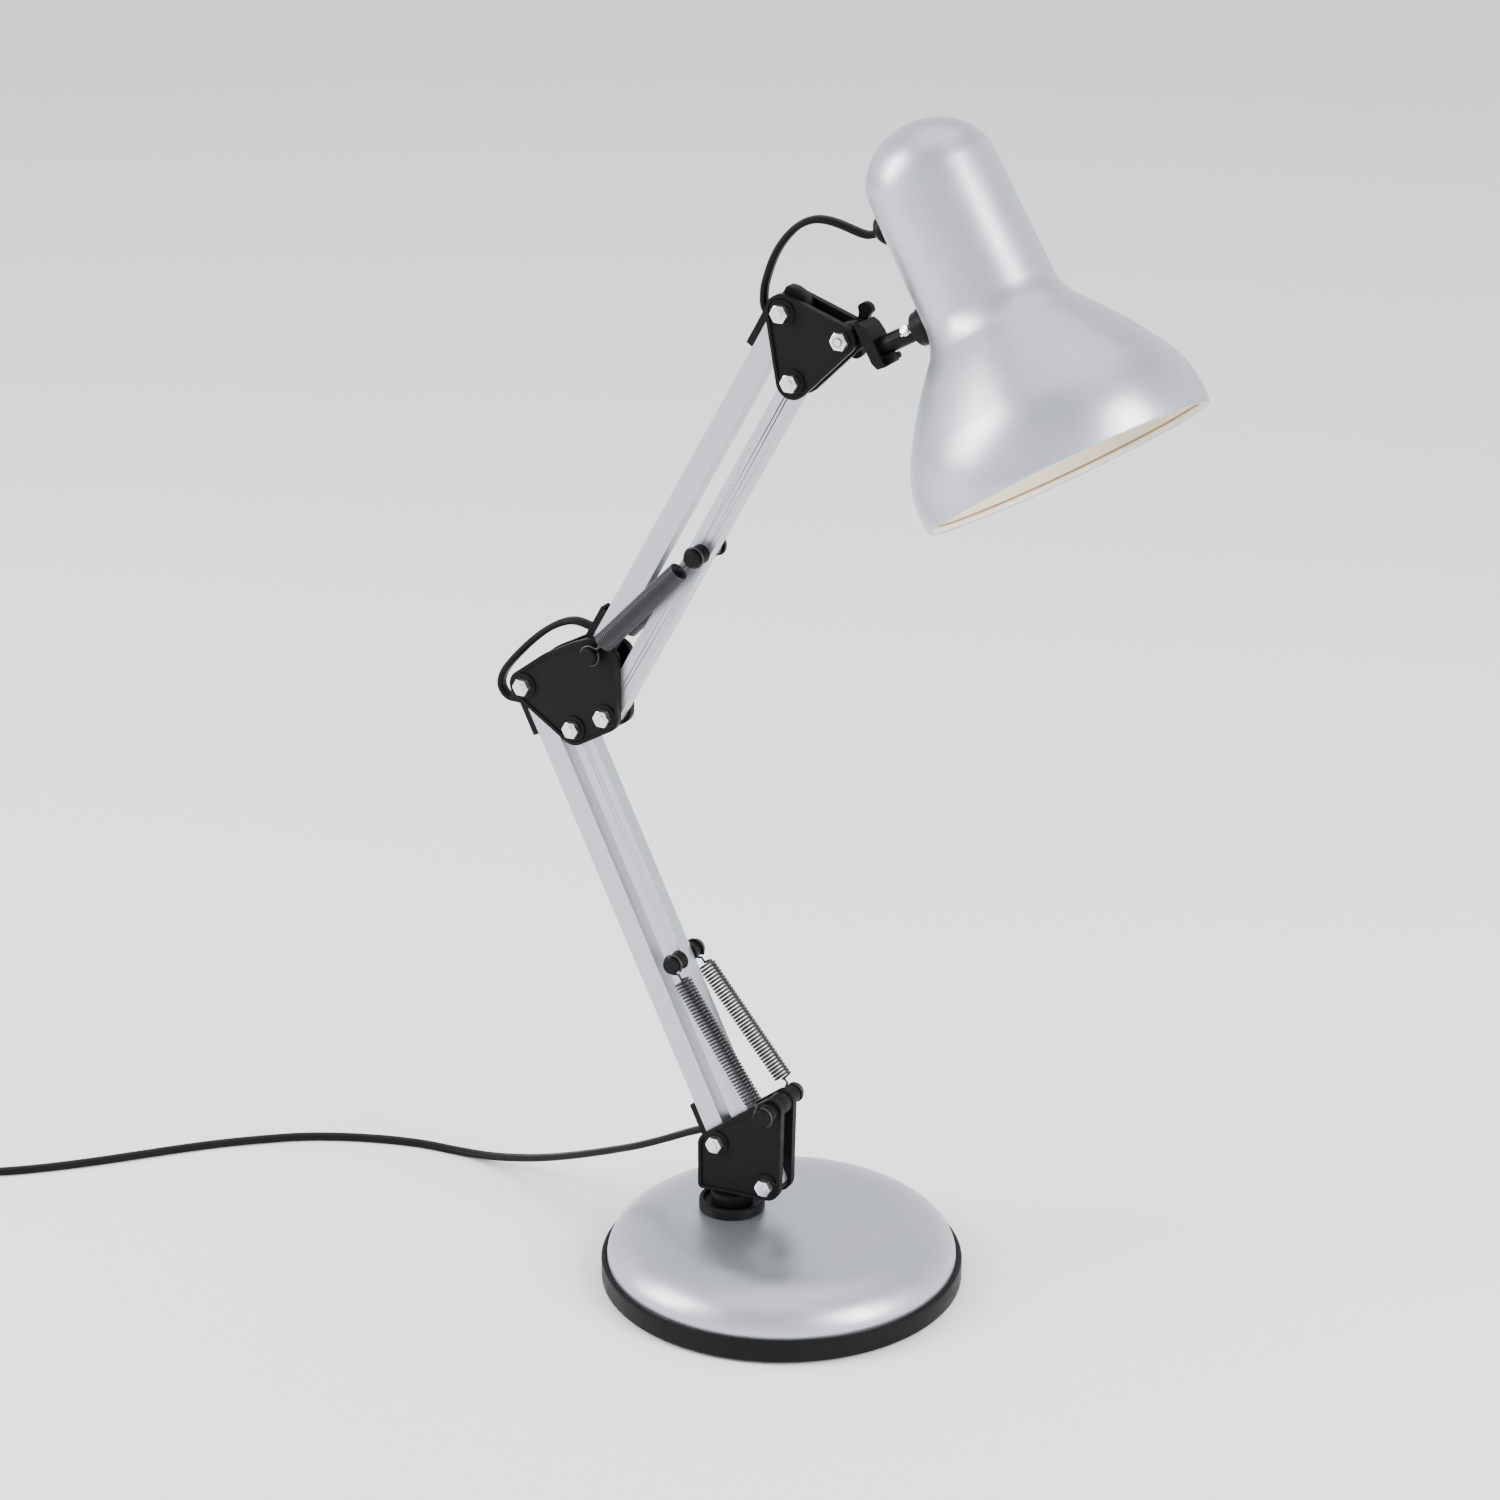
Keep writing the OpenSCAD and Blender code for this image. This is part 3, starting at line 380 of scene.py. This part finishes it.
# The twin flex: two cores side by side, 5.2 by 3.1 mm, with a groove between them.
CORE_X, CORE_R, GROOVE = 1.05, 1.55, 1.3
FLEX = ([(CORE_X + CORE_R * cos(a), CORE_R * sin(a)) for a in range(-75, 76, 25)] + [(0, GROOVE)]
        + [(-CORE_X + CORE_R * cos(a), CORE_R * sin(a)) for a in range(105, 256, 25)] + [(0, -GROOVE)])
LEVEL = Vector((0, 0, 1))
ACROSS = Vector((0, 1, 0))

# ---- mains cord ----------------------------------------------------------------------------

CORD_Z = 1.6
route = [(-39.6, 0, 64.3), (-48, 0.5, 60.2), (-57, 1.5, 55.2), (-67, 3.5, 49.5), (-79, 6, 43),
         (-93, 10, 35.8), (-108, 14, 28.5), (-124, 18.5, 21), (-141, 23, 13.8), (-158, 27, 7.8),
         (-175, 29.5, 3.5), (-193, 30, CORD_Z), (-212, 28, CORD_Z), (-231, 23, CORD_Z),
         (-249, 16, CORD_Z), (-266, 7, CORD_Z), (-282, -5, CORD_Z), (-297, -18, CORD_Z),
         (-311, -32, CORD_Z), (-324, -46, CORD_Z), (-337, -60, CORD_Z), (-351, -74, CORD_Z),
         (-367, -88, CORD_Z), (-383, -99, CORD_Z), (-396, -107.5, CORD_Z)]
SWITCH_TURN = 33
away = Vector((-cos(SWITCH_TURN), -sin(SWITCH_TURN), 0))
beside = Vector((sin(SWITCH_TURN), -cos(SWITCH_TURN), 0))
switch_start = Vector((-396, -107.5, 0))
STUB, COIL_R = 88, 28
coil_mid = switch_start + away * STUB - beside * COIL_R
TAIL_LEN = 24.0
PLUG_RISE = 1.15
OUTER, INNER = 30.7, 25.4
# Each lap's radius and height, and where in turns the flex moves on to the next one.
LAPS = [(OUTER, 2.6), (INNER, 2.6), (INNER, 5.7), (INNER, 8.8), (INNER, 11.9), (OUTER, 11.9),
        (OUTER, 8.8), (OUTER, 5.7)]
MOVES = [(0.87, 0.13), (1.81, 0.06), (2.75, 0.06), (3.69, 0.06), (4.56, 0.13), (5.50, 0.06), (6.44, 0.06)]
TURNS = 7.425


def ease(f):
    f = min(max(f, 0), 1)
    return f * f * (3 - 2 * f)


def coil_path():
    """From the switch, round the coil lap by lap, and out to the plug."""
    path = []
    for d in range(4, STUB, 7):
        out = (OUTER - COIL_R) * ease((d - 56) / (STUB - 56))
        rise = ease((d - 60) / (STUB - 60))
        z = CORD_Z + rise * (LAPS[0][1] - CORD_Z)
        path.append(switch_start + away * d + beside * out + Vector((0, 0, z)))
    begin = math.degrees(math.atan2(beside.y, beside.x))
    steps = round(TURNS * 64)
    for i in range(steps + 1):
        t = TURNS * i / steps
        r, z = LAPS[0]
        for (start, wide), before, after in zip(MOVES, LAPS, LAPS[1:]):
            f = ease((t - start) / wide)
            r += f * (after[0] - before[0])
            z += f * (after[1] - before[1])
        angle = begin - 360 * t
        path.append(coil_mid + Vector((r * cos(angle), r * sin(angle), z)))
    leave = begin - 360 * TURNS
    out = Vector((sin(leave), -cos(leave), 0))
    for d in (6, 12, 18, 24, 28):
        z = LAPS[-1][1] + PLUG_RISE * ease(d / TAIL_LEN)
        path.append(coil_mid + Vector((OUTER * cos(leave), OUTER * sin(leave), z)) + out * d)
    return path


cord_line = [p * MM for p in smooth_path([Vector(p) for p in route], 4)[:-1] + coil_path()]
mains_flex = swept("mains_flex", cord_line, FLEX, SHEATH, LEVEL)
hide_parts("mains_cord", "switch_cord", "cord_coil")
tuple(cord_line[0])
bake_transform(mains_flex)
cord_length = sum((b - a).length for a, b in zip(cord_line, cord_line[1:]))
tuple(cord_line[0])

# ---- flex along the arms -------------------------------------------------------------------


def bar_lead(name, foot, way, length, rise, body, node):
    """The flex inside a rear bar, in at its foot and out at its top."""
    stations = [(-8.7, 6), (-6.3, 6 + rise), (-4.9, 8.4), (-3.9, 11.8), (-2.7, 18), (-2.2, 25),
                (-2.2, 60), (-2.2, length - 60), (-2.2, length - 26), (-2.6, length - 16),
                (-3.6, length - 11.5), (-5.4, length - 8.4), (-8.3, length - 6.7)]
    path = smooth_path([at(on_bar(foot, way, x, z)) for x, z in stations], 3)
    lead = swept(name, path, FLEX, SHEATH, ACROSS)
    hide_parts(node)
    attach(lead, body)


bar_lead("lower_flex", FOOT_REAR, LOWER, LOWER_LEN, 0, "lower_rear_arm", "lower_arm_lead")
bar_lead("upper_flex", ELBOW_TOP, UPPER, UPPER_LEN, 0.7, "upper_rear_arm", "upper_arm_lead")


def hanging_lead(name, pivot, turn, stations, bodies, node):
    """A free loop of flex between bodies, in a plane turned about the upright through pivot."""
    points = [at((pivot[0] + x * cos(turn), pivot[1] + z), x * sin(turn)) for x, z in stations]
    across = Vector((-sin(turn), cos(turn), 0))
    whole = smooth_path(points, 3)
    last = len(whole) - 1
    cuts = [round(last * k / (len(bodies) - 1)) for k in range(len(bodies))]
    for k, (a, b) in enumerate(zip(bodies, bodies[1:])):
        path = whole[cuts[k]:cuts[k + 1] + 1]
        lead = swept(f"{name}_{k + 1}", path, FLEX, SHEATH, across)
        if k == 0:
            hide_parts(node)
        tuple(path[0])
        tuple(path[-1])
        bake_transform(lead)


hanging_lead("elbow_flex", ELBOW_LEFT, 0,
             [(-4.2, -9.65), (-7.9, -9.5), (-11, -9.4), (-13.6, -8.1), (-15.5, -5.5), (-15.8, -2.1),
              (-14.4, 1.9), (-11.1, 6.7), (-6, 12.5), (0.4, 19), (7.2, 24.9), (13.9, 29.3),
              (20.4, 31.9), (25.9, 32.2), (31.6, 30.9)],
             ["lower_rear_arm", "elbow", "upper_rear_arm"], "elbow_lead")
hanging_lead("head_flex", (HEAD_TOP[0] - 11, HEAD_TOP[1]), 6.1,
             [(0.6, -2.1), (-0.5, -0.1), (-0.9, 3.3), (-0.5, 8.3), (0.9, 13.6), (3, 19.6), (6.2, 25.9),
              (10.6, 31.7), (15.5, 36), (21.2, 38.4), (26.6, 38.6), (32, 37.6), (37.2, 36), (41.7, 34.6),
              (45.5, 34.3), (50.5, 35.9)],
             ["upper_rear_arm", "head_bracket", "tilt_block", "shade_head"], "head_lead")

# ---- springs -------------------------------------------------------------------------------

WIRE_R, HOOK_R = 0.55, 4.4


def spring(name, a, b, hook, radius, turns, node):
    """A wound tension spring from a to b with a loop round the peg at each end."""
    span = b - a
    along = span.normalized()
    beside_it = along.cross(ACROSS).normalized()
    third = along.cross(beside_it)
    ring, wire_line = HOOK_R * MM, (radius - WIRE_R) * MM
    hook *= MM
    loop = range(20, 341, 20)
    path = [a + ring * (along * cos(t) + beside_it * sin(t)) for t in reversed(loop)]
    neck = ring + 0.6 * MM
    path.append(a + along * neck)
    steps = turns * 14
    for i in range(steps + 1):
        t = i / steps
        reach = wire_line * ease(min(t, 1 - t) * turns / 0.6)
        spin = 360 * turns * t
        path.append(a + along * (hook + (span.length - 2 * hook) * t)
                    + reach * (beside_it * cos(spin) + third * sin(spin)))
    path.append(b - along * neck)
    path += [b - ring * (along * cos(t) - beside_it * sin(t)) for t in loop]
    coil = swept(name, path, disc(WIRE_R, 8), SPRING)
    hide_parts(node)
    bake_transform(coil)


lower_peg = on_bar(FOOT_FRONT, LOWER, *LOWER_PEG)
upper_peg = on_bar(ELBOW_RIGHT, UPPER, *UPPER_PEG)
for side_name, sign in (("near", -1), ("far", 1)):
    spring(f"lower_spring_{side_name}", at(SPRING_BAR, sign * SPRING_BAR_Y), at(lower_peg, sign * PEG_Y),
           7.5, 4.3, 40, "lower_springs")
    spring(f"upper_spring_{side_name}", at(ELBOW_TOP, sign * ELBOW_PEG_Y), at(upper_peg, sign * PEG_Y),
           9.5, 4.75, 50, "upper_springs")

# ---- shade, base and collar ----------------------------------------------------------------


def arc(x, z, r, a0, a1, count):
    return [(x + r * cos(a0 + (a1 - a0) * k / count), z + r * sin(a0 + (a1 - a0) * k / count))
            for k in range(count + 1)]


def shade_skin(t):
    """The shade's profile moved in by t: bell, shoulder, fillet, neck and cap."""
    bend = []
    for k in range(1, 12):
        f = k / 12
        bend.append(((1 - f) ** 2 * 32.45 + 2 * f * (1 - f) * 28.5 + f * f * 28.2 - t,
                     (1 - f) ** 2 * 62.5 + 2 * f * (1 - f) * 68.5 + f * f * 75 - 0.6 * t * (1 - f)))
    cap = [((27.4 - t) * cos(a), 129 + (24 - t) * sin(a)) for a in range(0, 90, 5)]
    return (arc(14.3, 6, 48 - t, -3, 30, 22) + arc(-117.34, -70, 200 - t, 31, 41.5, 14) + bend
            + [(28.2 - t, 75), (27.9 - t, 92), (27.65 - t, 110)] + cap + [(0, 153 - t)])


# The silver outside, the cream inside, the groove above the hem in brown (the bare edge's colour with
# painted shade of the gap between hem and wall) and the rolled hem.
outside = [(61.2, 0), (61.65, 0.3), (61.95, 1.1)] + [(r, z) for r, z in shade_skin(0) if z > 2.2]
inside = [(r, z) for r, z in shade_skin(1) if z > 3.25][::-1]
groove = [(61.3, 3.05), (61.15, 2.75)]
hem = [(60.5, 2.75), (60.0, 2.3), (59.85, 1.5), (60.05, 0.7), (60.55, 0.15), (61.2, 0)]
inside_from = len(outside) - 1
groove_from = inside_from + len(inside)
hem_from = groove_from + len(groove)
lip_from = hem_from + len(hem) - 2
shade = turned("shade_skin", outside + inside + groove + hem, on_shade, 144, SILVER, 35,
               [(inside_from, CREAM), (groove_from, PRIMER_AND_SHADE), (hem_from, CREAM), (lip_from, SILVER)])
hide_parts("shade")
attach(shade, "shade_head")


def dome(t):
    """The base cover's profile moved in by t."""
    shoulder = [(50 + (28.8 - t) * cos(a), 12 + (16.5 - t) * sin(a)) for a in range(0, 91, 3)]
    return [(78.8 - t, 3)] + shoulder + [(25, 28.5 - t), (0, 28.5 - t)]


cover = turned("base_dome", dome(0) + dome(1)[::-1] + [dome(0)[0]], upright, 160,
               SILVER, 35)
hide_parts("base_cover")
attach(cover, "base")

rim = [(0, 1), (80.0, 1), (80.9, 1.3), (81.4, 1.9), (81.5, 2.6), (81.5, 10.5), (81.3, 11.1),
       (80.8, 11.45), (80.2, 11.5), (79.5, 11.5), (79.1, 11.3), (79, 10.9), (79, 3), (0, 3)]
tray = turned("base_rim", rim, upright, 160, BLACK_PAINT, 35)
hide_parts("base_tray")
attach(tray, "base")

ring = [(5.05, 19), (7, 19), (7, 28.5), (14.3, 28.5), (14.8, 28.7), (15, 29.2), (15, 32.5),
        (14.85, 33.05), (14.4, 33.4), (13.5, 33.4), (13.1, 33.2), (12.8, 32.6), (12.75, 31.5),
        (5.05, 31.5), (5.05, 19)]
collar = turned("swivel_ring", ring, lambda x, y, z: upright(x + SWIVEL_X, y, z), 96,
                PLASTIC, 35)
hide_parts("swivel_collar")
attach(collar, "base")

# ---- nuts ----------------------------------------------------------------------------------


def nuts(name, pivots, body, node):
    """M4 hexagon nuts with chamfered corners, on the near side of a bracket."""
    high, half_flats, corner_r, face = 3.2, 3.5, 4.04, 3.3
    points, faces = [], []
    steps = 72
    for p in pivots:
        start = len(points)
        for k in range(steps):
            a = 360 / steps * k
            reach = min(half_flats / cos((a + 30) % 60 - 30), corner_r)
            drop = (reach - face) * 0.45
            profile = [(1.7, 0.3), (2.1, 0), (face, 0), (reach, drop), (reach, high - drop), (face, high),
                       (2.1, high), (1.7, high - 0.3)]
            points += [at((p[0] + r * cos(a + 30), p[1] + r * sin(a + 30)), -CHEEK_OUT - d)
                       for r, d in profile]
        count = len(profile)
        for k in range(steps):
            j = (k + 1) % steps
            for m in range(count):
                n = (m + 1) % count
                faces.append([start + count * k + m, start + count * j + m,
                              start + count * j + n, start + count * k + n])
    hexagons = keep_edges(piece(name, points, faces, ZINC), 28)
    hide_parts(node)
    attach(hexagons, body)


nuts("lower_hex_nuts", [FOOT_REAR, FOOT_FRONT], "swivel_bracket", "lower_nuts")
nuts("elbow_hex_nuts", [ELBOW_LEFT, ELBOW_MID, ELBOW_RIGHT], "elbow", "elbow_nuts")
nuts("head_hex_nuts", [HEAD_TOP, HEAD_LOW, HEAD_TIP], "head_bracket", "head_nuts")

# The steel end of the moulded wing bolt, with a chamfered tip, through its nut.
THREAD_FROM, THREAD_LEN = 9.6, 1.8
tip = [(0, 0), (BOLT_R, 0), (BOLT_R, THREAD_LEN - 0.35), (1.7, THREAD_LEN + 0.02), (0, THREAD_LEN + 0.02)]
thread = turned("wing_bolt_thread", tip,
                lambda x, z, d: at((HEAD_TIP[0] + x, HEAD_TIP[1] + z), -THREAD_FROM - d),
                48, ZINC, 25)
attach(thread, "wing_bolt")

# ---- the pieces that keep the frame's own shape --------------------------------------------

FINISH = {"silver_paint": SILVER, "black_paint": BLACK_PAINT, "black_plastic": PLASTIC, "zinc": ZINC,
          "spring_steel": SPRING, "cast_iron": IRON, "felt": FELT, "cord_sheath": SHEATH,
          "thermoplastic": MOULDED, "brass": BRASS, "nickel": NICKEL}
# Bevel widths in millimetres; the other nodes get EDGE.
EDGE = 0.22
SOFT = {"plug_body": 1.2, "switch_housing": 0.9, "switch_rocker": 0.5, "grommet": 0.25, "tilt_block": 0.5,
        "wing_bolt": 0.4, "lower_cheek_near": 0.4, "lower_cheek_far": 0.4, "elbow_cheek_near": 0.4,
        "elbow_cheek_far": 0.4, "head_cheek_near": 0.4, "head_cheek_far": 0.4}
node_slot = {part["node"]: part["material_slot"] for part in frame["record"]["subparts"]}
for name, node in frame["nodes"].items():
    if node.hide_render:
        continue
    node.data.materials.clear()
    node.data.materials.append(FINISH[node_slot[name]])
    weld = node.modifiers.new("weld", "WELD")
    weld.merge_threshold = 0.00001
    bevel = node.modifiers.new("bevel", "BEVEL")
    bevel.width = SOFT.get(name, EDGE) * MM
    bevel.segments = 3 if name in SOFT else 2
    bevel.limit_method = "ANGLE"
    bevel.angle_limit = math.radians(30)
    bevel.harden_normals = True

# ---- floor and light -----------------------------------------------------------------------

paper = Shader("paper", Roughness=0.85)
paper.colours(paper.noise(2.0, 2.0), (0.93, 0.93, 0.93), (0.95, 0.95, 0.95))
paper.bump(paper.noise(300, 2.0), 0.00005, 0.2)
FLOOR = 14.0
corners = [(-FLOOR, -FLOOR, 0), (FLOOR, -FLOOR, 0), (FLOOR, FLOOR, 0), (-FLOOR, FLOOR, 0)]
floor = piece("floor", corners, [[0, 1, 2, 3]], paper.material)

world = bpy.data.worlds.new("studio")
bpy.context.scene.world = world
world.use_nodes = True
world.node_tree.nodes["Background"].inputs["Color"].default_value = (0.95, 0.97, 1, 1)
links, nodes = world.node_tree.links, world.node_tree.nodes
where = nodes.new("ShaderNodeTexCoord")
parts = nodes.new("ShaderNodeSeparateXYZ")
fade = nodes.new("ShaderNodeMapRange")
fade.interpolation_type = "SMOOTHSTEP"
for key, number in (("From Min", 0.15), ("From Max", 0.95), ("To Min", 1.75), ("To Max", 0.95)):
    fade.inputs[key].default_value = number
links.new(where.outputs["Generated"], parts.inputs["Vector"])
links.new(parts.outputs["Z"], fade.inputs["Value"])
links.new(fade.outputs["Result"], nodes["Background"].inputs["Strength"])


def softbox(name, place, target, width, height, power):
    lamp = bpy.data.lights.new(name, "AREA")
    lamp.shape = "RECTANGLE"
    lamp.size, lamp.size_y, lamp.energy = width, height, power
    holder = bpy.data.objects.new(name, lamp)
    holder.location = place
    holder.rotation_euler = (Vector(target) - Vector(place)).to_track_quat("-Z", "Y").to_euler()
    bpy.context.scene.collection.objects.link(holder)


softbox("left_box", (-1.5, -1.0, 1.2), (0, 0, 0.2), 0.7, 1.4, 46)
softbox("right_box", (1.7, -0.2, 1.1), (0, 0, 0.2), 0.6, 1.4, 50)
softbox("top_box", (-0.1, 0.3, 2.0), (0, 0, 0.1), 1.6, 1.6, 12)
